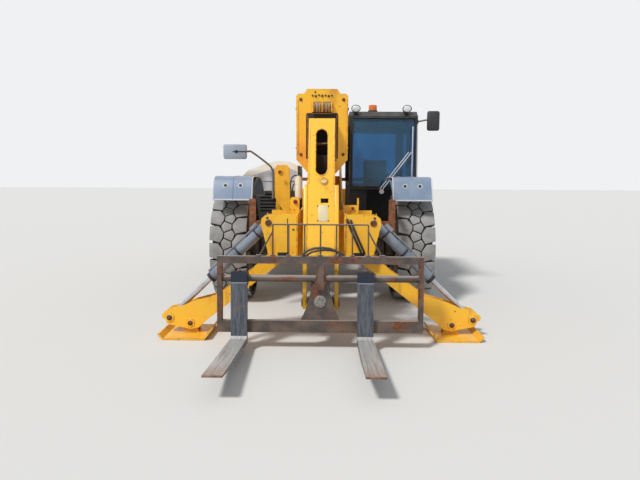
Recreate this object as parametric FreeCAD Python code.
import FreeCAD, Part
import math
import os

# A telescopic handler with front stabilisers, parked with its boom down and forks on.
# Sizes are in mm. +X is the machine's left, its front looks along -Y, +Z is up.
# Places along Y are measured from the front axle until save() centres the machine.

# Running gear
wheelbase = 2750.0
tyre_radius = 645.0
tyre_width = 420.0
tread_depth = 34.0
tread_pitches = 20
wheel_x = 1065.0
rim_radius = 305.0
rim_width = 330.0
rim_wall = 14.0
hub_radius = 150.0
spindle_radius = 62.0
kingpin_x = 830.0
kingpin_radius = 28.0
knuckle_radius = 74.0
knuckle_half_height = 104.0
axle_tube_radius = 95.0
axle_ear_thickness = 50.0

# Chassis
plate_inner = 275.0
plate_thickness = 25.0
chassis_front = -1175.0
chassis_rear = 3980.0
chassis_bottom = 620.0
chassis_top = 1020.0
axle_arch_top = 880.0
rear_end = 4250.0
rear_body_half = 950.0
hitch_y = 4190.0
hitch_radius = 16.0

# Boom: pivot, slope and sections from the outer one inwards
pivot_y = 3800.0
pivot_z = 2130.0
pivot_pin_radius = 60.0
boom_slope = 3.0
boom_centre = 60.0
boom_rear = 220.0
boom_front = -5020.0
collar_front = -5080.0
collar_length = 260.0
head_front = -5125.0
inner_front = -5135.0
collar_half = 250.0
collar_low = -345.0
collar_chamfer = 134.0
shoulder_height = 415.0
crown_height = 459.0
crown_half = 144.0
sheave_radius = 42.0
sheave_height = 285.0
section_gap = 0.3
# columns: name, width, height, height of its middle over the pivot, wall, front end, rear end
sections = [
    ("boom_outer", 460.0, 700.0, boom_centre, 10.0, boom_front, boom_rear),
    ("boom_second", 400.0, 620.0, 45.0, 9.0, -5095.0, -220.0),
    ("boom_third", 340.0, 540.0, 25.0, 8.0, -5105.0, -360.0),
    ("boom_inner", 280.0, 460.0, 0.0, 9.0, inner_front, -500.0),
]
ring_length = 120.0
boom_chamfer = 50.0

# Nose at the end of the inner section
nose_half = 125.0
nose_wall = 20.0
cheek_outer = 160.0
nose_top = (-1440.0, 2034.0)
nose_foot = (-1900.0, 790.0)
nose_bend = (-1500.0, 1200.0)
nose_low_z = 700.0
nose_rear_z = 1650.0
cheek_top_z = 1410.0
tilt_pivot = (-1860.0, 360.0)
tilt_pin_radius = 30.0
tilt_base = (-1560.0, 1300.0)
tilt_arm = 190.0
tilt_arm_angle = 120.0

# Carriage and forks, set level and then tipped back
carriage_tip = 4.0
carriage_half = 885.0
post_width = 40.0
carriage_back = -2050.0
carriage_front = -2110.0
top_beam_back = -2030.0
top_beam_z = (730.0, 792.0)
low_beam_z = (137.0, 240.0)
fork_bar_z = 600.0
fork_bar_y = -2068.0
fork_bar_radius = 30.0
fork_width = 138.0
fork_thickness = 50.0
fork_length = 1070.0
fork_tip_thickness = 12.0
fork_bottom = 45.0
fork_places = (-690.0, 385.0)
guard_top = 1065.0
guard_half = 410.0
guard_rod_radius = 7.0

# Stabilisers, for the machine's left side and mirrored
leg_plane = -1620.0
leg_gap = 120.0
leg_plate = 20.0
leg_pivot = (330.0, 820.0)
leg_pin_radius = 30.0
ram_base = (475.0, 1070.0)
ram_eye = (1420.0, 165.0)
pad_pin = (1225.0, 115.0)
pad_pin_radius = 22.0
pad_half_x = 235.0
pad_length = 480.0
pad_plate = 20.0
tower_front = -1780.0
tower_plate = 25.0
tower_inner = 210.0
tower_rear = -1200.0
tower_half = 548.0
tower_z = (700.0, 1150.0)

# Lift and levelling cylinders under the boom
lift_base = (3450.0, 1050.0)
lift_ahead = 2050.0
lift_below = -520.0
lift_barrel_radius = 90.0
lift_rod_radius = 55.0
comp_x = 135.0
comp_base = (3000.0, 900.0)
comp_ahead = 400.0
comp_below = -420.0
comp_barrel_radius = 36.0
comp_rod_radius = 22.0

# Cab
cab_inner_x = 335.0
cab_outer_x = 1200.0
cab_wall = 45.0
cab_floor = 800.0
cab_step_z = 1330.0
cab_step_y = tyre_radius + 305.0
cab_front = 300.0
cab_rear = wheelbase - tyre_radius - 185.0
cab_roof = 2325.0
door_y = (985.0, cab_rear - 95.0)
door_z = (cab_floor + 60.0, cab_roof - 120.0)
door_gap = 6.0
door_frame = 70.0
glass_thickness = 6.0

# Engine pod
pod_inner = -360.0
pod_outer = -1170.0
pod_y = (tyre_radius + 225.0, wheelbase - tyre_radius - 150.0)
pod_z = (550.0, 1290.0)
pod_wall = 30.0
cover_gap = 0.3
cover_hinge_z = 1630.0

# Hinges of the door and the engine cover
hinge_radius = 12.0
hinge_pin = 6.0
hinge_length = 50.0
hinge_split = 1.0

# Fenders
fender_radius = 840.0
fender_wall = 15.0
fender_x = (787.0, 1230.0)
fender_start = 44.0
stay_y = -840.0

# Tank under the cab, its steps, and the accumulator on the stabiliser tower
tank_y = (tyre_radius + 325.0, wheelbase - tyre_radius - 205.0)
tank_outer = 1090.0
step_outer = 1225.0
accumulator_at = (-232.0, -1240.0)
accumulator_z = (1275.0, 1480.0)

pin_clearance = 0.05
joint_gap = 6.0
front_axle_y = 0.0
axle_z = tyre_radius


def vec(x, y, z):
    return FreeCAD.Vector(x, y, z)


def box(x, y, z):
    """A box from three (low, high) pairs."""
    low = vec(min(x), min(y), min(z))
    size = [abs(x[1] - x[0]), abs(y[1] - y[0]), abs(z[1] - z[0])]
    return Part.makeBox(size[0], size[1], size[2], low)


def rod(start, end, radius):
    """A round bar between two points."""
    start = vec(*start)
    way = vec(*end) - start
    return Part.makeCylinder(radius, way.Length, start, way)


def tube(start, end, outer, inner):
    return rod(start, end, outer).cut(rod(start, end, inner))


def plate_x(points, x0, x1):
    """A plate whose outline lies in the Y-Z plane, from x0 to x1."""
    wire = Part.makePolygon([vec(x0, y, z) for y, z in points + points[:1]])
    return Part.Face(wire).extrude(vec(x1 - x0, 0, 0))


def plate_y(points, y0, y1):
    """A plate whose outline lies in the X-Z plane, from y0 to y1."""
    wire = Part.makePolygon([vec(x, y0, z) for x, z in points + points[:1]])
    return Part.Face(wire).extrude(vec(0, y1 - y0, 0))


def plate_z(points, z0, z1):
    """A plate whose outline lies in the X-Y plane, from z0 to z1."""
    wire = Part.makePolygon([vec(x, y, z0) for x, y in points + points[:1]])
    return Part.Face(wire).extrude(vec(0, 0, z1 - z0))


def fused(shapes):
    """One solid from pieces that overlap or touch."""
    shapes = list(shapes)
    whole = shapes[0]
    if len(shapes) > 1:
        whole = whole.multiFuse(shapes[1:])
    return whole.removeSplitter()


def apart(shapes):
    """Several solids that don't touch, in one node."""
    return Part.makeCompound([s for shape in shapes for s in shape.Solids])


def mirrored(shape):
    return shape.mirror(vec(0, 0, 0), vec(1, 0, 0))


def turned_point(point, about, degrees):
    """A (y, z) point turned about another, the front going down for a positive angle."""
    t = math.radians(degrees)
    y = point[0] - about[0]
    z = point[1] - about[1]
    return (about[0] + y * math.cos(t) - z * math.sin(t),
            about[1] + y * math.sin(t) + z * math.cos(t))


def turned(shape, about, degrees):
    """A shape turned about a crosswise axis through the (y, z) point."""
    copy = shape.copy()
    copy.rotate(vec(0, about[0], about[1]), vec(1, 0, 0), degrees)
    return copy


# Places worked out from the sizes above
tilt_arm_rad = math.radians(tilt_arm_angle)
tilt_eye = (tilt_pivot[0] + tilt_arm * math.cos(tilt_arm_rad),
            tilt_pivot[1] + tilt_arm * math.sin(tilt_arm_rad))
shank_front = carriage_front - fork_thickness
tip_low = (shank_front - fork_length, fork_bottom + (fork_thickness - fork_tip_thickness))
front_end = min(turned_point((tip_low[0], z), tilt_pivot, -carriage_tip)[0]
                for z in (tip_low[1], tip_low[1] + fork_tip_thickness))
origin_shift = -(front_end + rear_end) / 2.0


def boom_place(shape):
    """From boom axes, with its pivot at zero, to the machine at rest."""
    copy = shape.copy()
    copy.rotate(vec(0, 0, 0), vec(1, 0, 0), boom_slope)
    copy.translate(vec(0, pivot_y, pivot_z))
    return copy


def boom_point(y, z):
    """A (y, z) place on the boom, from its pivot, on the machine at rest."""
    return turned_point((pivot_y + y, pivot_z + z), (pivot_y, pivot_z), boom_slope)


lift_eye = boom_point(-lift_ahead, lift_below)
comp_eye = boom_point(-comp_ahead, comp_below)


def save(name, shape):
    placed = shape.copy()
    placed.translate(vec(0, origin_shift, 0))
    placed.exportStep("parts/" + name + ".step")


# Wheels, knuckles and axles

def facet_ring(outline, count):
    """Solid ring about the X axis from an (x, radius) outline, flat between equal steps."""
    step = 2 * math.pi / count
    stretch = 1.0 / math.cos(step / 2.0)

    def at(point, index):
        angle = (index + 0.5) * step
        return vec(point[0], -point[1] * stretch * math.cos(angle),
                   -point[1] * stretch * math.sin(angle))

    faces = []
    for index in range(count):
        for a, b in zip(outline, outline[1:] + outline[:1]):
            corners = [at(a, index), at(b, index), at(b, index + 1), at(a, index + 1)]
            faces.append(Part.Face(Part.makePolygon(corners + corners[:1])))
    return closed_solid(faces)


def closed_solid(faces):
    """A solid from flat faces that meet edge to edge."""
    skin = Part.makeCompound(faces)
    skin.sewShape()
    solid = Part.Solid(skin.Shells[0])
    return solid if solid.Volume > 0 else solid.reversed()


# Tread blocks on the flat: across as a share of half the width, along as a share of a pitch
shoulder_block = [(0.985, -0.40), (0.34, -0.22), (0.38, 0.40), (0.985, 0.16)]
middle_block = [(0.26, -0.04), (-0.02, -0.24), (-0.30, -0.10), (-0.24, 0.20), (0.14, 0.27)]


def tread_block(outline, side, turn):
    """One block whose top corners lie on the tread's round outline."""
    pitch = 2 * math.pi * tyre_radius / tread_pitches
    floor = tyre_radius - tread_depth - 14.0
    top = []
    low = []
    for across, along in outline:
        x = side * across * tyre_width / 2.0
        y = along * pitch
        top.append(vec(x, y, -math.sqrt(tyre_radius ** 2 - y ** 2)))
        low.append(vec(x, y, -floor))
    faces = [Part.Face(Part.makePolygon(low + low[:1]))]
    for i in range(len(top)):
        j = (i + 1) % len(top)
        faces.append(Part.Face(Part.makePolygon([low[i], low[j], top[j], top[i], low[i]])))
    for i in range(1, len(top) - 1):
        faces.append(Part.Face(Part.makePolygon([top[0], top[i], top[i + 1], top[0]])))
    block = closed_solid(faces)
    block.rotate(vec(0, 0, 0), vec(1, 0, 0), turn)
    return block


def tyre():
    """Tyre about the X axis: round body with two rows of swept shoulder blocks and a middle one."""
    half = tyre_width / 2.0
    bead = rim_width / 2.0 - rim_wall - 0.3
    floor = tyre_radius - tread_depth
    side = [(bead, rim_radius), (bead, rim_radius + 16.0), (half - 4.0, rim_radius + 150.0),
            (half - 14.0, floor - 26.0), (half - 44.0, floor)]
    outline = side + [(-x, radius) for x, radius in reversed(side)]
    pieces = [facet_ring(outline, tread_pitches)]
    step = 360.0 / tread_pitches
    for index in range(tread_pitches):
        pieces.append(tread_block(shoulder_block, 1, index * step))
        pieces.append(tread_block(shoulder_block, -1, (index + 0.5) * step))
        pieces.append(tread_block(middle_block, 1, (index + 0.5) * step))
    return fused(pieces)


def rim():
    """Wheel rim about the X axis: barrel, dished disc and closed hub drum."""
    half = rim_width / 2.0
    outer = rim_radius - 0.2
    inner = outer - rim_wall
    barrel = tube((-half, 0, 0), (half, 0, 0), outer, inner)
    disc = tube((20, 0, 0), (38, 0, 0), inner + 1.0, spindle_radius + 20.0)
    drum = rod((-95, 0, 0), (95, 0, 0), hub_radius)
    cap = rod((95, 0, 0), (125, 0, 0), hub_radius - 55.0)
    bore = rod((-96, 0, 0), (-5, 0, 0), spindle_radius + pin_clearance)
    lips = [tube((x, 0, 0), (x + 14.0, 0, 0), outer + 14.0, inner) for x in (-half, half - 14.0)]
    wheel = fused([barrel, disc, drum, cap] + lips).cut(bore)
    return wheel


def knuckle():
    """Left knuckle at the axle's height: kingpin drum with stubs, and its spindle."""
    reach = knuckle_half_height + axle_ear_thickness + 4.0
    drum = rod((kingpin_x, 0, -knuckle_half_height), (kingpin_x, 0, knuckle_half_height),
               knuckle_radius)
    pin = rod((kingpin_x, 0, -reach), (kingpin_x, 0, reach), kingpin_radius)
    neck = rod((kingpin_x, 0, 0), (wheel_x - 103.0, 0, 0), 88.0)
    keep = box((kingpin_x - 200, wheel_x), (-200, 200),
               (-knuckle_half_height, knuckle_half_height))
    spindle = rod((kingpin_x, 0, 0), (wheel_x - 12.0, 0, 0), spindle_radius)
    return fused([drum, pin, neck.common(keep), spindle])


def axle():
    """Axle beam with its differential drum and the forked ends for the knuckles."""
    web_x = kingpin_x - knuckle_radius - 30.0
    tube_end = web_x - 5.0
    beam = rod((-tube_end, 0, 0), (tube_end, 0, 0), axle_tube_radius)
    drum = rod((0, -150, 0), (0, 150, 0), 190.0)
    cone = Part.makeCone(axle_tube_radius + 45.0, axle_tube_radius, 130.0,
                         vec(140, 0, 0), vec(1, 0, 0))
    pieces = [beam, drum, cone, mirrored(cone)]
    low = knuckle_half_height + 4.0
    high = low + axle_ear_thickness - 4.0
    for side in (1, -1):
        web = box((side * (web_x - 40.0), side * (web_x + 22.0)), (-85, 85), (-high, high))
        pieces.append(web)
        for lift in (1, -1):
            ear = box((side * web_x, side * kingpin_x), (-70, 70), (lift * low, lift * high))
            eye = rod((side * kingpin_x, 0, lift * low), (side * kingpin_x, 0, lift * high), 70.0)
            pieces += [ear, eye]
    whole = fused(pieces)
    for side in (1, -1):
        x = side * kingpin_x
        whole = whole.cut(rod((x, 0, -high - 1), (x, 0, high + 1), kingpin_radius + pin_clearance))
    return whole


def axle_seats():
    """Pads between the axle beam and the chassis plates above it."""
    pads = []
    for side in (1, -1):
        pads.append(box((side * 215, side * (plate_inner + plate_thickness)), (-120, 120),
                        (60, axle_arch_top - axle_z)))
    return pads


def running_gear():
    """Both axles with their seats, steering cylinders, gearbox and shafts."""
    pieces = []
    for y in (front_axle_y, wheelbase):
        ends = [axle()] + axle_seats()
        side = -1 if y == front_axle_y else 1
        ends.append(box((-60, 60), (side * 60, side * 150), (-30, 30)))
        ends.append(rod((-260, side * 155, 0), (260, side * 155, 0), 38.0))
        whole = fused(ends)
        whole.translate(vec(0, y, axle_z))
        pieces.append(whole)
    gearbox_y = (tyre_radius + 355.0, wheelbase - 1250.0)
    pieces.append(box((-170, 170), gearbox_y, (axle_z - 110, axle_z + 170)))
    pieces.append(rod((0, 140, axle_z), (0, gearbox_y[0] + 5, axle_z), 38.0))
    pieces.append(rod((0, gearbox_y[1] - 5, axle_z), (0, wheelbase - 140, axle_z), 38.0))
    return fused(pieces)


def save_wheels():
    carcass = tyre()
    wheel = rim()
    pin = knuckle()
    for end, y in (("front", front_axle_y), ("rear", wheelbase)):
        for side, sign in (("left", 1), ("right", -1)):
            for name, shape, x in (("tyre", carcass, wheel_x), ("rim", wheel, wheel_x),
                                   ("knuckle", pin, 0.0)):
                piece = shape.copy()
                piece.translate(vec(x, y, axle_z))
                if sign < 0:
                    piece = mirrored(piece)
                save(name + "_" + end + "_" + side, piece)


# Chassis

def chassis_plate_outline():
    """Side plate in (y, z): low at the front, arched over the axles, up to the boom pivot."""
    arch = 330.0
    rise = 100.0
    return [
        (chassis_front, chassis_bottom), (-arch - rise, chassis_bottom), (-arch, axle_arch_top),
        (arch, axle_arch_top), (arch + rise, chassis_bottom),
        (wheelbase - arch - rise, chassis_bottom), (wheelbase - arch, axle_arch_top),
        (wheelbase + arch, axle_arch_top), (wheelbase + arch + rise, chassis_bottom),
        (chassis_rear, chassis_bottom + 60.0), (chassis_rear, pivot_z + 60.0),
        (pivot_y + 100.0, pivot_z + 170.0), (pivot_y - 130.0, pivot_z + 170.0),
        (pivot_y - 330.0, pivot_z + 40.0), (3080.0, 1620.0), (2150.0, 1160.0),
        (1700.0, chassis_top + 60.0), (chassis_front, chassis_top),
    ]


def chassis_plate():
    """Left side plate with the collar of the boom's pivot."""
    inner = plate_inner
    plate = plate_x(chassis_plate_outline(), inner, inner + plate_thickness)
    collar = rod((inner, pivot_y, pivot_z), (inner + 90, pivot_y, pivot_z), 110.0)
    bore = rod((inner - 1, pivot_y, pivot_z), (inner + 91, pivot_y, pivot_z), pivot_pin_radius)
    return fused([plate, collar]).cut(bore)


def chassis_frame():
    """Cross members and pins between the two side plates."""
    across = (-plate_inner, plate_inner)
    belly = (chassis_bottom, chassis_bottom + 20)
    front = box(across, (chassis_front, chassis_front + 20), (chassis_bottom, chassis_top))
    arch = 330.0
    end = plate_inner + plate_thickness + 65.0
    pieces = [
        fused([front, box(across, (chassis_front, -430), belly)]),
        box(across, (560, 900), (axle_arch_top - 20, axle_arch_top)),
        box(across, (-arch, arch), (axle_arch_top + 4, axle_arch_top + 24)),
        box(across, (chassis_rear - 25, chassis_rear), (760, 1500)),
        box(across, (3200, 3700), (chassis_bottom + 60, chassis_bottom + 80)),
        rod((-end, pivot_y, pivot_z), (end, pivot_y, pivot_z), pivot_pin_radius),
        rod((-plate_inner, lift_base[0], lift_base[1]), (plate_inner, lift_base[0], lift_base[1]),
            45.0),
        rod((plate_inner, comp_base[0], comp_base[1]), (comp_x - 22, comp_base[0], comp_base[1]),
            22.0),
    ]
    return apart(pieces)


def rear_body():
    """Cast weight across the back, with the side boxes behind the rear wheels."""
    half = rear_body_half
    back = plate_z([(-half, chassis_rear), (-half, rear_end - 120), (-half + 120, rear_end),
                    (half - 120, rear_end), (half, rear_end - 120), (half, chassis_rear)],
                   780.0, 1250.0)
    pieces = [back]
    inner = plate_inner + plate_thickness
    for side in (1, -1):
        pieces.append(box((side * inner, side * half), (3640, chassis_rear), (840, 1180)))
    for z in ((745, 785), (660, 690)):
        pieces.append(box((-65, 65), (chassis_rear + 20, hitch_y + 45), z))
    pieces.append(box((-65, 65), (chassis_rear + 20, chassis_rear + 60), (660, 785)))
    bore = rod((0, hitch_y, 650), (0, hitch_y, 780), hitch_radius)
    return fused(pieces).cut(bore)


# Stabilisers

def tower_outline():
    """Half of the tower's front plate in (x, z)."""
    low, high = tower_z
    return [(tower_inner, high), (400.0, high), (430.0, high - 10.0), (505.0, high - 10.0),
            (tower_half - 10.0, high - 40.0), (tower_half - 4.0, high - 95.0), (505.0, 900.0),
            (470.0, low + 30.0), (tower_inner, low)]


def stabiliser_tower():
    """Two plate boxes with a gap between them for the boom's nose."""
    half = []
    half.append(plate_y(tower_outline(), tower_front, tower_front + tower_plate))
    half.append(box((tower_inner, tower_inner + tower_plate), (tower_front, tower_rear), tower_z))
    half.append(rod((leg_pivot[0], tower_front, leg_pivot[1]),
                    (leg_pivot[0], tower_rear, leg_pivot[1]), leg_pin_radius))
    half.append(rod((ram_base[0], tower_front, ram_base[1]),
                    (ram_base[0], leg_plane + 150, ram_base[1]), 25.0))
    half.append(box((tower_inner, tower_half - 40.0), (leg_plane + 130, leg_plane + 150),
                    (1000.0, tower_z[1] - 20.0)))
    pieces = []
    for piece in half:
        pieces += [piece, mirrored(piece)]
    back = tower_half - 45.0
    pieces.append(box((-back, back), (tower_rear, tower_rear + tower_plate), tower_z))
    return fused(pieces + tower_ears())


def tower_ears():
    """Upright ears on the tower's inner plates: a plain one, and a stepped one on the left."""
    depth = (-1500.0, -1475.0)
    top = tower_z[1]
    edge = tower_inner
    right = [(-300, top - 50), (-300, 1276), (-284, 1292), (-edge - 16, 1292), (-edge, 1272),
             (-edge, top - 50)]
    left = [(edge, top - 50), (355, top - 50), (355, 1286), (338, 1286), (338, 1219),
            (edge, 1219)]
    pieces = [plate_y(right, *depth), plate_y(left, *depth)]
    for x, z in ((-248.0, 1250.0), (296.0, 1190.0)):
        pieces.append(rod((x, depth[0] - 12, z), (x, depth[1], z), 20.0))
    return pieces


def accumulator():
    """Small pressure vessel on its post, and two hoses down the tower's left box."""
    x, y = accumulator_at
    low, high = accumulator_z
    pieces = [rod((x, y, low), (x, y, high), 37.0),
              rod((x, y, high - 1), (x, y, high + 14), 20.0),
              rod((x, y, low - 15), (x, y, low + 1), 24.0),
              box((x - 10, x + 10), (y - 10, y + 10), (tower_z[1], low - 10))]
    hoses = []
    front = tower_front
    for shift in (0.0, 30.0):
        path = [vec(238 + shift, front + 12, 1112 - shift / 3), vec(241 + shift, front - 17, 1085),
                vec(275 + shift, front - 17, 1000), vec(330 + shift, front - 17, 880),
                vec(360 + shift, front - 17, 812), vec(366 + shift, front + 12, 782)]
        hoses.append(hose(path, 10.0).cut(stabiliser_tower()))
    return apart([fused(pieces)] + hoses)


def leg_outline():
    """Stabiliser leg in (x, z), from its pivot out to the cylinder's pin."""
    px, pz = leg_pivot
    ex, ez = ram_eye
    return [(px - 40, pz + 75), (px + 40, pz + 60), (640, 632), (956, 396), (1043, 362),
            (1190, 325), (1300, 276), (ex + 20, ez + 78), (ex + 72, ez + 30), (ex + 72, ez - 5),
            (ex + 46, ez - 10), (ex + 38, ez - 25), (ex + 20, ez - 65), (1225, 55), (1150, 70),
            (1060, 150), (435, 646), (px - 60, pz - 60), (px - 85, pz)]


def leg_web_outline():
    """Floor of the leg's channel in (x, z), along its lower edge."""
    return [(435, 646), (1060, 150), (1075, 175), (450, 670)]


def stabiliser_leg():
    """Channel-shaped leg with the pad's pin and open top for its cylinder."""
    half = leg_gap / 2.0
    outline = leg_outline()
    pieces = [plate_y(outline, leg_plane - half - leg_plate, leg_plane - half),
              plate_y(outline, leg_plane + half, leg_plane + half + leg_plate),
              plate_y(leg_web_outline(), leg_plane - half, leg_plane + half)]
    reach = half + leg_plate
    pieces.append(rod((leg_pivot[0], leg_plane - reach, leg_pivot[1]),
                      (leg_pivot[0], leg_plane + reach, leg_pivot[1]), 62.0))
    pieces.append(rod((pad_pin[0], leg_plane - reach, pad_pin[1]),
                      (pad_pin[0], leg_plane + reach, pad_pin[1]), pad_pin_radius))
    bore = rod((leg_pivot[0], leg_plane - 200, leg_pivot[1]),
               (leg_pivot[0], leg_plane + 200, leg_pivot[1]), leg_pin_radius + pin_clearance)
    return fused(pieces).cut(bore)


def stabiliser_pad():
    """Flat foot with upturned ends and two ears on the leg's pin."""
    cx = 1250.0
    t = pad_plate
    low = pad_half_x - 45.0
    outline = [(cx - low, 0), (cx + low, 0), (cx + pad_half_x, 55), (cx + pad_half_x - 18, 62),
               (cx + low - 8, t), (cx - low + 8, t), (cx - pad_half_x + 18, 62),
               (cx - pad_half_x, 55)]
    half_length = pad_length / 2.0
    pieces = [plate_y(outline, leg_plane - half_length - 20, leg_plane + half_length - 20)]
    for y in (leg_plane - 56.0, leg_plane + 40.0):
        ear = plate_y([(1150, 10), (1300, 10), (1262, 140), (1188, 140)], y, y + 16.0)
        pieces.append(ear)
    bore = rod((pad_pin[0], leg_plane - 80, pad_pin[1]), (pad_pin[0], leg_plane + 80, pad_pin[1]),
               pad_pin_radius + pin_clearance)
    return fused(pieces).cut(bore)


def cylinder_parts(base, eye, across, half, sizes, at):
    """Barrel and rod between two pins.

    base and eye are points in the cylinder's plane, across turns such a point and a place
    along the pins into space, half is half the eye's width, sizes holds the barrel's length
    and radius, the rod's radius, the two pins' radii and how far the rod can still be drawn
    in, and at is where the plane lies.
    """
    length, radius, rod_radius, base_pin, eye_pin, way_in = sizes
    span = math.hypot(eye[0] - base[0], eye[1] - base[1])
    way = ((eye[0] - base[0]) / span, (eye[1] - base[1]) / span)

    def along(distance, offset=0.0):
        return across((base[0] + way[0] * distance, base[1] + way[1] * distance), at + offset)

    barrel = rod(along(0), along(length), radius)
    base_eye = rod(along(0, -half), along(0, half), base_pin + 28.0)
    barrel = fused([barrel, base_eye])
    barrel = barrel.cut(rod(along(0, -300), along(0, 300), base_pin + pin_clearance))
    barrel = barrel.cut(rod(along(base_pin + 60.0), along(length + 1), rod_radius + pin_clearance))
    stem = rod(along(base_pin + 68.0 + way_in), along(span), rod_radius)
    eye_ring = rod(along(span, -half), along(span, half), eye_pin + 24.0)
    pin = rod(along(span, -half - 4.0), along(span, half + 4.0), eye_pin)
    return barrel, fused([stem, eye_ring, pin])


def in_side_plane(point, x):
    """A (y, z) point of a plane along the machine."""
    return (x, point[0], point[1])


def in_front_plane(point, y):
    """An (x, z) point of a plane across the machine."""
    return (point[0], y, point[1])


def save_stabilisers():
    barrel, stem = cylinder_parts(ram_base, ram_eye, in_front_plane, 28.0,
                                  (780.0, 48.0, 25.0, 25.0, 22.0, 350.0), leg_plane)
    barrel = fused([barrel] + hard_tube(780.0, 48.0))
    for side, sign in (("left", 1), ("right", -1)):
        for name, shape in (("leg", stabiliser_leg()), ("pad", stabiliser_pad()),
                            ("leg_barrel", barrel), ("leg_rod", stem)):
            save(name + "_" + side, shape if sign > 0 else mirrored(shape))


def hard_tube(length, radius):
    """Steel oil tube and valve block along the upper side of a stabiliser's barrel."""
    span = math.hypot(ram_eye[0] - ram_base[0], ram_eye[1] - ram_base[1])
    way = ((ram_eye[0] - ram_base[0]) / span, (ram_eye[1] - ram_base[1]) / span)

    def beside(distance, lift):
        return (ram_base[0] + way[0] * distance - way[1] * lift, leg_plane,
                ram_base[1] + way[1] * distance + way[0] * lift)

    high = radius + 16.0
    valve = rod(beside(110, high), beside(190, high), 24.0)
    pipe = rod(beside(150, high), beside(length - 30, high), 8.0)
    foot = rod(beside(length - 38, radius - 6), beside(length - 38, high), 11.0)
    return [valve, pipe, foot]


# Boom

def boom_outline(width, height, centre, y, chamfer=boom_chamfer):
    """Octagonal boom section at y, in boom axes."""
    half = width / 2.0
    low = centre - height / 2.0
    high = centre + height / 2.0
    points = [(-half, low + chamfer), (-half + chamfer, low), (half - chamfer, low),
              (half, low + chamfer), (half, high - chamfer), (half - chamfer, high),
              (-half + chamfer, high), (-half, high - chamfer)]
    wire = Part.makePolygon([vec(x, y, z) for x, z in points + points[:1]])
    return Part.Face(wire)


def collar_outline(y):
    """Outline of the collar and the head plate at y: raised crown, wide sides, drawn-in foot."""
    foot_half = collar_half - collar_chamfer + 18.0
    half = [(foot_half, collar_low), (collar_half, collar_low + collar_chamfer),
            (collar_half, shoulder_height - 22.0), (collar_half - 22.0, shoulder_height),
            (crown_half + 30.0, shoulder_height), (crown_half, crown_height)]
    points = half + [(-x, z) for x, z in reversed(half)]
    wire = Part.makePolygon([vec(x, y, z) for x, z in points + points[:1]])
    return Part.Face(wire)


def boom_tube(width, height, centre, wall, front, rear):
    """A length of box section, with its inside cut out."""
    way = vec(0, rear - front, 0)
    inner = (width - 2 * wall, height - 2 * wall)
    corner = boom_chamfer - 0.58 * wall
    outer_face = boom_outline(width, height, centre, front)
    inner_face = boom_outline(inner[0], inner[1], centre, front, corner)
    return outer_face.extrude(way).cut(inner_face.extrude(way))


def ring_inside(row, after, length):
    """Front ring of one section that guides the next one on flat faces."""
    name, width, height, centre, wall, front, rear = row
    way = vec(0, length, 0)
    corner = boom_chamfer - 0.58 * wall
    outer = boom_outline(width - 2 * wall + 2, height - 2 * wall + 2, centre, front, corner)
    inner = boom_outline(after[1] + 2 * section_gap, after[2] + 2 * section_gap, after[3], front)
    return outer.extrude(way).cut(inner.extrude(way))


def ring_outside(row, before):
    """Rear ring of one section that rides inside the section around it."""
    name, width, height, centre, wall, front, rear = row
    way = vec(0, -ring_length, 0)
    corner = boom_chamfer - 0.58 * before[4]
    shrink = 2 * before[4] + 2 * section_gap
    outer = boom_outline(before[1] - shrink, before[2] - shrink, before[3], rear, corner)
    inner = boom_outline(width - 4, height - 4, centre, rear)
    return outer.extrude(way).cut(inner.extrude(way))


def boom_sections():
    """Each section as a tube with a guide ring at its front and rear."""
    made = []
    for index, row in enumerate(sections):
        rear = row[6]
        pieces = [boom_tube(*row[1:])]
        if index < len(sections) - 1:
            pieces.append(ring_inside(row, sections[index + 1], ring_length))
        if index > 0:
            pieces.append(ring_outside(row, sections[index - 1]))
        if row[0] == "boom_outer":
            pieces += outer_fittings()
        if row[0] == "boom_third":
            pieces += head_fittings(row, sections[index + 1])
        shape = fused(pieces)
        if row[0] == "boom_outer":
            bore = rod((-300, 0, 0), (300, 0, 0), pivot_pin_radius + pin_clearance)
            shape = shape.cut(bore)
        made.append((row[0], shape))
    return made


def head_fittings(row, after):
    """Head plate on the third section's front, with two chain sheaves between their lugs."""
    front = row[5]
    plate = collar_outline(head_front).extrude(vec(0, front - head_front, 0))
    opening = boom_outline(after[1] + 2 * section_gap, after[2] + 2 * section_gap, after[3],
                           head_front - 1).extrude(vec(0, front - head_front + 2, 0))
    pieces = [plate.cut(opening)]
    y = head_front - 18.0
    for x0, x1 in ((6.0, 84.0), (-84.0, -6.0)):
        pieces.append(rod((x0, y, sheave_height), (x1, y, sheave_height), sheave_radius))
    lug_z = (sheave_height - sheave_radius, sheave_height + sheave_radius + 8.0)
    for x0 in (-96.0, -6.0, 84.0):
        pieces.append(box((x0, x0 + 12.0), (head_front - 52.0, head_front + 1.0), lug_z))
    return pieces


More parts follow.
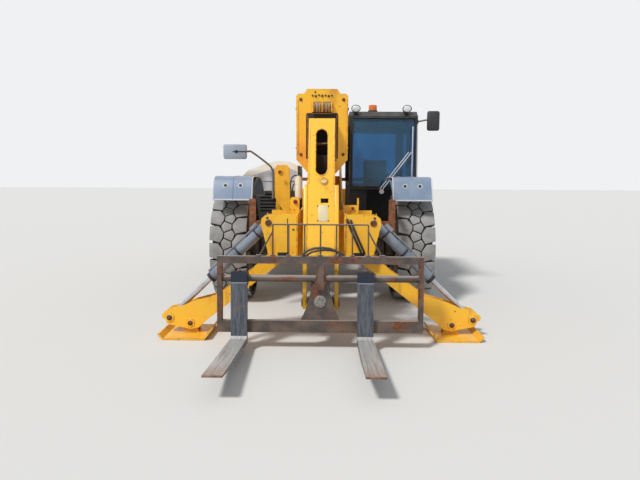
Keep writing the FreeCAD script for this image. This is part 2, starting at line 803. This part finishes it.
def outer_fittings():
    """Front collar, pivot tube and cylinder lugs of the outer section."""
    name, width, height, centre, wall, front, rear = sections[0]
    after = sections[1]
    way = vec(0, collar_length, 0)
    collar = collar_outline(collar_front).extrude(way)
    opening = boom_outline(after[1] + 2 * section_gap, after[2] + 2 * section_gap, after[3],
                           collar_front).extrude(vec(0, front - collar_front + 5, 0))
    behind = boom_outline(width - 2, height - 2, centre, front).extrude(way)
    collar = collar.cut(opening).cut(behind)
    pivot = tube((-plate_inner + joint_gap, 0, 0), (plate_inner - joint_gap, 0, 0), 105.0, 59.0)
    pieces = [collar, pivot]
    low = centre - height / 2.0 + 2.0
    # columns: how far ahead, how far below, half length at the boom and at the eye, places, plate
    lugs = [(lift_ahead, lift_below - 60, 190, 70, (75.0, -105.0), 30.0),
            (comp_ahead, comp_below - 40, 110, 50, (comp_x - 41.0, comp_x + 25.0), 16.0)]
    for ahead, foot, wide, narrow, places, plate in lugs:
        outline = [(-ahead - wide, low), (-ahead - narrow, foot), (-ahead + narrow, foot),
                   (-ahead + wide, low)]
        for x in places:
            pieces.append(plate_x(outline, x, x + plate))
    return pieces


def nose_front(z):
    """The nose's front line, y at a height."""
    share = (nose_top[1] - z) / (nose_top[1] - nose_foot[1])
    return nose_top[0] + (nose_foot[0] - nose_top[0]) * share


def nose_joint(z):
    """Where the nose meets the inner section's sloped front, y at a height."""
    middle = boom_point(inner_front, 0.0)
    return middle[0] - (z - middle[1]) * math.tan(math.radians(boom_slope))


def nose_body():
    """Closed box from the section's end down to the foot, with its long slot and small hole."""
    rear_low = -1660.0
    top_in = nose_top[1] - 45.0
    rear_in = nose_rear_z + 50.0
    wall = nose_wall
    lip = 14.0
    outline = [(nose_joint(nose_top[1]), nose_top[1]), nose_top, nose_foot,
               (nose_foot[0] + 60, nose_low_z), (rear_low, nose_low_z), nose_bend,
               (nose_joint(nose_rear_z), nose_rear_z)]
    inside = [(nose_joint(top_in) + 1, top_in), (nose_front(top_in) + wall, top_in),
              (nose_foot[0] + lip, nose_foot[1] - 2), (nose_foot[0] + lip, nose_low_z - 100),
              (rear_low - wall, nose_low_z - 100), (nose_bend[0] - wall, nose_bend[1]),
              (nose_joint(rear_in) + 1, rear_in)]
    inner = nose_half - wall
    body = plate_x(outline, -nose_half, nose_half).cut(plate_x(inside, -inner, inner))
    front = (-2000, -1460)
    slot_half = 55.0
    slot_z = (1555.0, 1875.0)
    slot = [box((-slot_half, slot_half), front, slot_z)]
    for z in slot_z:
        slot.append(rod((0, front[0], z), (0, front[1], z), slot_half))
    hole_front = nose_front(1270.0)
    hole = box((-5, 65), (hole_front - 30, hole_front + 45), (1250, 1290))
    boss_front = nose_front(1447.0)
    boss = rod((25, boss_front - 14, 1447), (25, boss_front + 12, 1447), 30.0)
    return fused([body.cut(fused(slot)).cut(hole), boss])


def boom_nose():
    """Box head that drops from the inner section to the carriage's pin."""
    px, pz = tilt_pivot
    cheek = [(nose_front(cheek_top_z) + 10, cheek_top_z), (nose_foot[0] + 6, nose_foot[1]),
             (px - 62, pz + 30), (px - 50, pz - 50), (px + 50, pz - 50), (px + 70, pz + 40),
             (-1650.0, nose_low_z), nose_bend, (nose_bend[0] + 60, cheek_top_z)]
    pieces = [nose_body()]
    for x0, x1 in ((nose_half, cheek_outer), (-cheek_outer, -nose_half)):
        pieces.append(plate_x(cheek, x0, x1))
    pieces.append(rod((-cheek_outer, px, pz), (cheek_outer, px, pz), tilt_pin_radius))
    pieces.append(rod((-nose_half, tilt_base[0], tilt_base[1]),
                      (nose_half, tilt_base[0], tilt_base[1]), 25.0))
    return fused(pieces)


# Carriage

def carriage_frame():
    """Welded frame with fork bar, pivot ears and the load guard above it."""
    half = carriage_half
    depth = (carriage_front, carriage_back)
    pieces = [box((-half, half), (carriage_front, top_beam_back), top_beam_z),
              box((-half, half), depth, low_beam_z)]
    for side in (1, -1):
        pieces.append(box((side * (half - post_width), side * half), depth,
                          (low_beam_z[0], top_beam_z[0] + 5)))
    pieces.append(rod((-half, fork_bar_y, fork_bar_z), (half, fork_bar_y, fork_bar_z),
                      fork_bar_radius))
    pieces += carriage_centre()
    pieces += load_guard()
    shape = fused(pieces)
    pin = tilt_pin_radius + pin_clearance
    shape = shape.cut(rod((-200, tilt_pivot[0], tilt_pivot[1]),
                          (200, tilt_pivot[0], tilt_pivot[1]), pin))
    return turned(shape, tilt_pivot, -carriage_tip)


def carriage_hoses():
    """Two oil hoses that arch over the top beam between their fittings."""
    pieces = []
    beam = box((-carriage_half, carriage_half), (carriage_front, top_beam_back), top_beam_z)
    # columns: y of the hose's plane, right end, left end, height of its arch, radius
    for y, x0, x1, rise, radius in ((-2099.0, -155.0, 175.0, 82.0, 10.0),
                                    (-2058.0, -120.0, 205.0, 60.0, 9.0)):
        path = []
        bends = 8
        for i in range(bends + 1):
            turn = math.pi * i / bends
            path.append(vec((x0 + x1) / 2.0 - (x1 - x0) / 2.0 * math.cos(turn), y,
                            top_beam_z[1] - 6.0 + rise * math.sin(turn)))
        pieces.append(hose(path, radius).cut(beam))
    return apart([turned(piece, tilt_pivot, -carriage_tip) for piece in pieces])


def hose(path, radius):
    """Eight-sided hose along the straight stretches between its points."""
    ring = Part.makeCircle(radius, path[0], path[1] - path[0])
    sides = 8
    corners = [ring.valueAt(2 * math.pi * i / sides) for i in range(sides)]
    profile = Part.makePolygon(corners + corners[:1])
    return Part.makePolygon(path).makePipeShell([profile], True, False, 1)


def carriage_centre():
    """Middle strap, back plate and the two ears with the tilt cylinder's crank."""
    eye = turned_point(tilt_eye, tilt_pivot, carriage_tip)
    py, pz = tilt_pivot
    low = low_beam_z[1] - 5.0
    back = carriage_back
    pieces = [box((-32, 32), (carriage_front, carriage_front + 20), (505, top_beam_z[0] + 2)),
              box((-32, 32), (carriage_front, back), (505, 555))]
    pieces.append(plate_y([(-170, low), (170, low), (130, 320), (60, 560), (-60, 560),
                           (-130, 320)], back - 20, back))
    ear = [(back - 5, low), (back - 5, 585), (eye[0] - 30, eye[1] + 52),
           (eye[0] + 40, eye[1] + 40), (py + 55, pz + 35), (py + 55, pz - 30), (py, pz - 62)]
    for x0, x1 in ((55.0, 85.0), (-85.0, -55.0)):
        pieces.append(plate_x(ear, x0, x1))
    for x0, x1 in ((55.0, 119.0), (-119.0, -55.0)):
        pieces.append(rod((x0, py, pz), (x1, py, pz), 52.0))
    return pieces


def load_guard():
    """Open guard of round bar on the top beam."""
    y = carriage_front + 30.0
    low = top_beam_z[1] - 4.0
    r = guard_rod_radius
    pieces = [rod((-guard_half, y, guard_top), (guard_half, y, guard_top), r)]
    count = 7
    for i in range(count):
        x = -guard_half + 2 * guard_half * i / (count - 1)
        pieces.append(rod((x, y, low), (x, y, guard_top), r))
    for side in (1, -1):
        pieces.append(rod((side * guard_half, y, guard_top - 60),
                          (side * (guard_half + 120), y, low), r))
    return pieces


def fork(x):
    """One fork: hook on the bar, upright shank and tapered blade."""
    half = fork_width / 2.0
    front = shank_front
    back = carriage_front
    top = 662.0
    b = fork_bottom
    t = fork_thickness
    tip = front - fork_length
    outline = [(back, top), (back, b + 12), (back - 12, b), (front - 500, b),
               (tip, b + t - fork_tip_thickness), (tip, b + t), (front - 20, b + t),
               (front, b + t + 20), (front, top)]
    shank = plate_x(outline, x - half, x + half)
    hook = [(back + 1, top), (back - 1, 540), (fork_bar_y - 5, 545), (fork_bar_y + 38, 575),
            (fork_bar_y + 52, fork_bar_z), (fork_bar_y + 38, 640), (fork_bar_y + 10, top)]
    block = plate_x(hook, x - half, x + half)
    bore = rod((x - half - 1, fork_bar_y, fork_bar_z), (x + half + 1, fork_bar_y, fork_bar_z),
               fork_bar_radius + 0.3)
    shape = fused([shank, block]).cut(bore)
    return turned(shape, tilt_pivot, -carriage_tip)


def hinge_halves(at, way, plate_a, plate_b):
    """The two barrels of a hinge about at, each with its leaf: the first also has the pin."""
    at = vec(*at)
    way = vec(*way)
    step = way * (hinge_length / 2.0)
    gap = way * (hinge_split / 2.0)

    def barrel(start, end, radius):
        span = end - start
        return Part.makeCylinder(radius, span.Length, start, span)

    first = barrel(at - step, at - gap, hinge_radius).fuse(barrel(at - step, at + step * 0.9,
                                                                  hinge_pin))
    second = barrel(at + gap, at + step, hinge_radius)
    second = second.fuse(plate_b)
    second = second.cut(barrel(at - step, at + step * 1.1, hinge_pin + pin_clearance))
    return first.fuse(plate_a).removeSplitter(), second.removeSplitter()


# Cab

def cab_outline(inset, x0, x1):
    """Cab volume between two side planes, its outline drawn in by an inset."""
    points = [(cab_step_y, cab_floor), (cab_step_y, cab_step_z), (cab_front, cab_step_z),
              (cab_front + 70, cab_roof - 70), (cab_front + 190, cab_roof),
              (cab_rear - 110, cab_roof), (cab_rear, cab_roof - 80), (cab_rear, cab_floor)]
    wire = Part.makePolygon([vec(x0, y, z) for y, z in points + points[:1]])
    face = Part.Face(wire)
    if inset > 0:
        face = face.makeOffset2D(-inset, 2)
    return face.extrude(vec(x1 - x0, 0, 0))


sill = cab_step_z + 90.0
header = cab_roof - 160.0
windows = [
    ("windscreen", (cab_inner_x + 27, cab_outer_x - 27), (cab_front - 50, cab_front + 150),
     (cab_step_z + 30, cab_roof - 90)),
    ("rear", (415.0, 1120.0), (cab_rear - 60, cab_rear + 40), (sill - 40, header)),
    ("roof", (415.0, 1120.0), (cab_front + 360, cab_rear - 520), (cab_roof - 110, cab_roof + 40)),
    ("inner_side", (330.0, 390.0), (cab_front + 180, cab_rear - 120), (sill, header)),
    ("quarter", (1150.0, 1210.0), (cab_front + 150, door_y[0] - 60), (sill, header)),
]


def footwell_box(inset):
    """Narrow box beside the wheel that holds the driver's feet."""
    return box((cab_inner_x + inset, 560 - inset),
               (cab_front + 60 + inset, cab_step_y + 50 + inset),
               (1000 + inset, cab_step_z + 1 + inset))


def door_hinges():
    """Hinges outside the door's rear edge: the cab's halves and the door's halves."""
    x = cab_outer_x + hinge_radius
    y = door_y[1] - door_gap / 2.0
    fixed = []
    moving = []
    leaf = (cab_outer_x, cab_outer_x + 8.0)
    half = hinge_length / 2.0
    for z in (1060.0, 2040.0):
        low = box(leaf, (door_y[1] + 2, door_y[1] + 40), (z - half, z - 0.5))
        low = low.fuse(box((leaf[1] - 5, x), (y, door_y[1] + 40), (z - half, z - 0.5)))
        high = box(leaf, (y - 40, door_y[1] - door_gap - 1), (z + 0.5, z + half))
        high = high.fuse(box((leaf[1] - 5, x), (y - 40, y), (z + 0.5, z + half)))
        a, b = hinge_halves((x, y, z), (0, 0, 1), low, high)
        fixed.append(a)
        moving.append(b)
    return fixed, moving


def cab_frame():
    whole = cab_outline(0, cab_inner_x, cab_outer_x).fuse(footwell_box(0))
    room = cab_outline(cab_wall, cab_inner_x + cab_wall, cab_outer_x - cab_wall)
    well = footwell_box(cab_wall)
    shape = whole.cut(room.fuse(well))
    for name, x, y, z in windows:
        shape = shape.cut(box(x, y, z))
    shape = shape.cut(box((cab_outer_x - cab_wall - 5, cab_outer_x + 5), door_y, door_z))
    return fused([shape] + door_hinges()[0])


def cab_glass():
    """Panes that sit inside the window openings."""
    shell = cab_outline(18.0, cab_inner_x, cab_outer_x)
    shell = shell.cut(cab_outline(18.0 + glass_thickness, cab_inner_x, cab_outer_x))
    panes = []
    edge = section_gap
    for name, x, y, z in windows:
        if name in ("inner_side", "quarter"):
            mid = (x[0] + x[1]) / 2.0
            panes.append(box((mid - glass_thickness / 2, mid + glass_thickness / 2),
                             (y[0] + edge, y[1] - edge), (z[0] + edge, z[1] - edge)))
            continue
        inside = [[x[0] + edge, x[1] - edge], list(y), list(z)]
        if name == "roof":
            inside[1] = [y[0] + edge, y[1] - edge]
        else:
            inside[2] = [z[0] + edge, z[1] - edge]
        panes.append(shell.common(box(*inside)))
    return apart(panes)


def cab_door():
    """Door with its window cut out, and the pane."""
    y = (door_y[0] + door_gap, door_y[1] - door_gap)
    z = (door_z[0] + door_gap, door_z[1] - door_gap)
    x = (cab_outer_x - cab_wall, cab_outer_x)
    frame = box(x, y, z)
    hole_y = (y[0] + door_frame, y[1] - door_frame)
    hole_z = (z[0] + 380.0, z[1] - door_frame)
    frame = frame.cut(box((x[0] - 5, x[1] + 5), hole_y, hole_z))
    mid = (x[0] + x[1]) / 2.0
    edge = section_gap
    pane = box((mid - glass_thickness / 2, mid + glass_thickness / 2),
               (hole_y[0] + edge, hole_y[1] - edge), (hole_z[0] + edge, hole_z[1] - edge))
    return fused([frame] + door_hinges()[1]), pane


def cab_seat():
    """Driver's seat on its base."""
    x = (560.0, 1010.0)
    rear = cab_rear - 180.0
    floor = cab_floor + cab_wall
    base = box((x[0] + 60, x[1] - 60), (rear - 410, rear - 40), (floor, floor + 235))
    cushion = box(x, (rear - 500, rear), (floor + 235, floor + 345))
    low = floor + 345
    back = plate_x([(rear - 100, low), (rear, low), (rear + 110, low + 610),
                    (rear + 30, low + 610)], x[0] + 20, x[1] - 20)
    return fused([base, cushion, back])


def cab_controls():
    """Steering column with its wheel, and the console beside the seat."""
    floor = cab_floor + cab_wall
    x = 785.0
    y = cab_step_y + 142.0
    z = cab_step_z + 160.0
    foot = box((x - 60, x + 60), (cab_step_y + 5 + cab_wall, y), (floor, floor + 30))
    column = rod((x, y - 52, floor + 12), (x, y, z - 10), 32.0)
    wheel = Part.makeTorus(190.0, 16.0, vec(x, y, z), vec(0, 0.2, 1))
    spokes = rod((x - 180, y, z), (x + 180, y, z), 14.0)
    rear = cab_rear - 170.0
    console = box((400, 530), (rear - 500, rear), (floor, floor + 405))
    return apart([fused([foot, column, wheel, spokes]), console])


def cab_lamps():
    """Two work lamps and a beacon on the roof's front edge."""
    lamps = []
    for x in (410.0, 1060.0):
        foot = box((x - 20, x + 20), (cab_front + 120, cab_front + 200), (cab_roof - 60,
                                                                          cab_roof + 12))
        body = rod((x, cab_front + 70, cab_roof + 23), (x, cab_front + 150, cab_roof + 23), 48.0)
        lamps.append(fused([foot, body]).cut(cab_outline(0, cab_inner_x, cab_outer_x)))
    y = cab_front + 275
    x = 640.0
    base = rod((x, y, cab_roof), (x, y, cab_roof + 20), 60.0)
    dome = rod((x, y, cab_roof + 20), (x, y, cab_roof + 85), 52.0)
    return apart(lamps + [fused([base, dome])])


# Bodywork

def fender(y, start, end):
    """Curved guard over a wheel between two angles from the front, on the left."""
    outer = rod((fender_x[0], y, axle_z), (fender_x[1], y, axle_z), fender_radius)
    inner = rod((fender_x[0] - 1, y, axle_z), (fender_x[1] + 1, y, axle_z),
                fender_radius - fender_wall)
    reach = 1500.0
    a = math.radians(start)
    b = math.radians(end)
    mid = (a + b) / 2.0
    wedge = [(y, axle_z), (y - reach * math.cos(a), axle_z + reach * math.sin(a)),
             (y - reach * math.cos(mid), axle_z + reach * math.sin(mid)),
             (y - reach * math.cos(b), axle_z + reach * math.sin(b))]
    return outer.cut(inner).common(plate_x(wedge, fender_x[0] - 2, fender_x[1] + 2))


def front_stay():
    """Bar out from the chassis, upright plate and arm that hold the front guard's inner edge."""
    inner = plate_inner + plate_thickness
    angle = math.radians(fender_start)
    edge_y = front_axle_y - fender_radius * math.cos(angle)
    edge_z = axle_z + fender_radius * math.sin(angle)
    x = fender_x[0]
    bar = box((inner, x - 40), (stay_y, stay_y + 60), (950, 1010))
    upright = box((x - 72, x - 2), (stay_y + 5, stay_y + 25), (760, edge_z + 12))
    arm = box((x - 32, x + 3), (stay_y + 5, edge_y + 30), (edge_z - 33, edge_z + 12))
    return [bar, upright, arm]


def fenders():
    guards = []
    inner = plate_inner + plate_thickness
    for side, last in ((1, 104.0), (-1, 134.0)):
        front = fused([fender(front_axle_y, fender_start, last)] + front_stay())
        rear_bar = box((inner, fender_x[0] + 20), (wheelbase - 40, wheelbase + 40),
                       (axle_z + fender_radius - 70, axle_z + fender_radius - 14))
        rear = fused([fender(wheelbase, fender_start, 180.0 - fender_start), rear_bar])
        for piece in (front, rear):
            guards.append(piece if side > 0 else mirrored(piece))
    return apart(guards)


def pod_cover_outline():
    """Engine cover across the machine in (x, z), from the boom side outwards."""
    low = pod_z[1] + cover_gap
    return [(pod_inner, low), (pod_inner, 1640), (-470, 1690), (-640, 1700), (-800, 1660),
            (-1040, 1575), (pod_outer, 1440), (pod_outer, low)]


def cover_hinges():
    """Hinges at the cover's top boom-side edge: the bay's halves and the cover's halves."""
    x = pod_inner + hinge_radius
    z = cover_hinge_z
    fixed = []
    moving = []
    half = hinge_length / 2.0
    for y in (pod_y[0] + 250.0, pod_y[1] - 250.0):
        low = box((pod_inner + section_gap, x + 6), (y - half, y - 0.5), (z - 40, z - 2))
        high = box((pod_inner - 10, x), (y + 0.5, y + half), (z + 2, z + 9))
        a, b = hinge_halves((x, y, z), (0, 1, 0), low, high)
        fixed.append(a)
        moving.append(b)
    return fixed, moving


def engine_cover():
    outline = pod_cover_outline()
    wire = Part.makePolygon([vec(x, pod_y[0], z) for x, z in outline + outline[:1]])
    length = pod_y[1] - pod_y[0]
    outer = Part.Face(wire).extrude(vec(0, length, 0))
    inner = Part.Face(wire).makeOffset2D(-pod_wall, 2).extrude(vec(0, length - 2 * pod_wall, 0))
    inner.translate(vec(0, pod_wall, -pod_wall - 1.0))
    return fused([outer.cut(inner)] + cover_hinges()[1])


def engine_pod():
    """Lower half of the engine bay, open at the top, carried on the chassis side."""
    outer = box((pod_outer, pod_inner), pod_y, pod_z)
    inner = box((pod_outer + pod_wall, pod_inner - pod_wall),
                (pod_y[0] + pod_wall, pod_y[1] - pod_wall), (pod_z[0] + pod_wall, pod_z[1] + 1))
    shape = outer.cut(inner).cut(louvres())
    side = plate_inner + plate_thickness
    back = box((pod_inner + section_gap, pod_inner + 15), pod_y, (pod_z[0], cover_hinge_z - 30))
    arms = [box((pod_inner - 1, -side), (y, y + 90.0), (820, 940))
            for y in (pod_y[0] + 130.0, pod_y[1] - 220.0)]
    arms.append(back)
    return fused([shape] + arms + cover_hinges()[0])


def louvres():
    """Air slots through the bay's front wall and its outer side."""
    slots = []
    slot_height = 20.0
    for row in range(6):
        low = 1000.0 + 46.0 * row
        z = (low, low + slot_height)
        slots.append(box((-880, -660), (pod_y[0] - 1, pod_y[0] + pod_wall + 1), z))
        for start in (pod_y[0] + 170.0, pod_y[0] + 590.0):
            slots.append(box((pod_outer - 1, pod_outer + pod_wall + 1), (start, start + 350), z))
    return Part.makeCompound(slots)


def engine_block():
    """Engine, gearbox and radiator as one plain block on the bay's floor."""
    return box((pod_outer + 160, pod_inner - 160), (pod_y[0] + 130, pod_y[1] - 140),
               (pod_z[0] + pod_wall, pod_z[1] - 50))


def tank_and_steps():
    """Tank under the cab with two open steps on its outer side."""
    inner = plate_inner + plate_thickness
    front, rear = tank_y
    tank = box((inner + 40, tank_outer), tank_y, (430, 790))
    arm = box((inner, inner + 45), (front + 130, rear - 200), (640, 760))
    pieces = [tank, arm]
    across = (tank_outer - 5, step_outer)
    for z in (480.0, 720.0):
        pieces.append(box(across, (front + 180, rear - 300), (z, z + 25)))
    for y in (front + 180, rear - 320):
        pieces.append(box(across, (y, y + 20), (480, 745)))
    return fused(pieces)


def cab_mounts():
    """Brackets that carry the cab on the chassis."""
    inner = plate_inner + plate_thickness
    pieces = []
    for y in (cab_step_y + 50.0, cab_rear - 180.0):
        pieces.append(box((inner, 640), (y, y + 80), (cab_floor - 9, cab_floor)))
        pieces.append(box((inner, inner + 34), (y, y + 80), (cab_floor - 100, cab_floor)))
    return fused(pieces)


def bent_arm(points, radius):
    """Round bar through a few points, with a ball at each bend."""
    pieces = []
    for start, end in zip(points, points[1:]):
        pieces.append(rod(start, end, radius))
    for point in points[1:-1]:
        pieces.append(Part.makeSphere(radius, vec(*point)))
    return pieces


def mirrors():
    """Large mirror on the engine side and a smaller one at the cab's front corner."""
    front = pod_y[0] - 22.0
    arm = bent_arm([(-700, front, 1180), (-700, front, 1560), (-740, 800, 1640),
                    (-960, 700, 1810), (-1100, 640, 1812)], 13.0)
    for z in (1190.0, 1260.0):
        arm.append(box((-715, -685), (front - 5, pod_y[0]), (z, z + 25)))
    housing = box((-1340, -1020), (600, 655), (1712, 1912))
    high = cab_roof - 125.0
    left = bent_arm([(cab_outer_x + 9, cab_front + 90, high - 10), (1290, cab_front - 10, high),
                     (1370, cab_front - 20, high - 10)], 11.0)
    foot = box((cab_outer_x, cab_outer_x + 8), (cab_front + 70, cab_front + 110),
               (high - 30, high + 10))
    small = box((1290, 1450), (cab_front - 80, cab_front - 25), (high - 140, high + 110))
    return apart([fused(arm + [housing]), fused(left + [foot, small])])


def levelling_bracket():
    """Upright plate beside the boom, with the frame-levelling cylinder behind it."""
    inner = plate_inner + plate_thickness
    foot = plate_x([(-100, 900), (120, 900), (120, 1120), (60, 1220), (-40, 1220), (-100, 1120)],
                   -inner - 25, -inner)
    face = plate_y([(-590, 1235), (-590, 1575), (-560, 1625), (-440, 1625), (-405, 1580),
                    (-405, 960), (-425, 960)], -20.0, 5.0)
    web = box((-425, -inner - 20), (-20, 5), (1000, 1200))
    back = 50.0
    pin = rod((-520, -34, 1540), (-520, back + 40, 1540), 26.0)
    barrel = rod((-520, back, 1540), (-560, back, 930), 38.0)
    stem = rod((-560, back, 940), (-572, back, axle_z + axle_tube_radius + 2), 24.0)
    return fused([foot, face, web, pin, barrel, stem])


def main():
    os.makedirs("parts", exist_ok=True)
    save("chassis_frame", chassis_frame())
    save("chassis_plate_left", chassis_plate())
    save("chassis_plate_right", mirrored(chassis_plate()))
    save("rear_body", rear_body())
    save("running_gear", running_gear())
    save("stabiliser_tower", stabiliser_tower())
    save("levelling_bracket", levelling_bracket())
    save("accumulator", accumulator())
    save_wheels()
    save_stabilisers()
    for name, shape in boom_sections():
        save(name, boom_place(shape))
    save("boom_nose", boom_nose())
    lift = cylinder_parts(lift_base, lift_eye, in_side_plane, 60.0,
                          (1400.0, lift_barrel_radius, lift_rod_radius, 45.0, 40.0, 0.0), 0.0)
    comp = cylinder_parts(comp_base, comp_eye, in_side_plane, 19.0,
                          (620.0, comp_barrel_radius, comp_rod_radius, 22.0, 18.0, 22.0),
                          comp_x)
    tilt = cylinder_parts(tilt_base, tilt_eye, in_side_plane, 40.0,
                          (560.0, 52.0, 30.0, 25.0, 22.0, 40.0), 0.0)
    for name, pair in (("lift", lift), ("comp", comp), ("tilt", tilt)):
        save(name + "_barrel", pair[0])
        save(name + "_rod", pair[1])
    save("carriage_frame", carriage_frame())
    save("carriage_hoses", carriage_hoses())
    save("fork_right", fork(fork_places[0]))
    save("fork_left", fork(fork_places[1]))
    save("cab_frame", cab_frame())
    save("cab_glass", cab_glass())
    door, pane = cab_door()
    save("cab_door", door)
    save("cab_door_glass", pane)
    save("cab_seat", cab_seat())
    save("cab_controls", cab_controls())
    save("cab_lamps", cab_lamps())
    save("cab_mounts", cab_mounts())
    save("engine_pod", engine_pod())
    save("engine_cover", engine_cover())
    save("engine_block", engine_block())
    save("tank_and_steps", tank_and_steps())
    save("fenders", fenders())
    save("mirrors", mirrors())


if __name__ == "__main__":
    main()
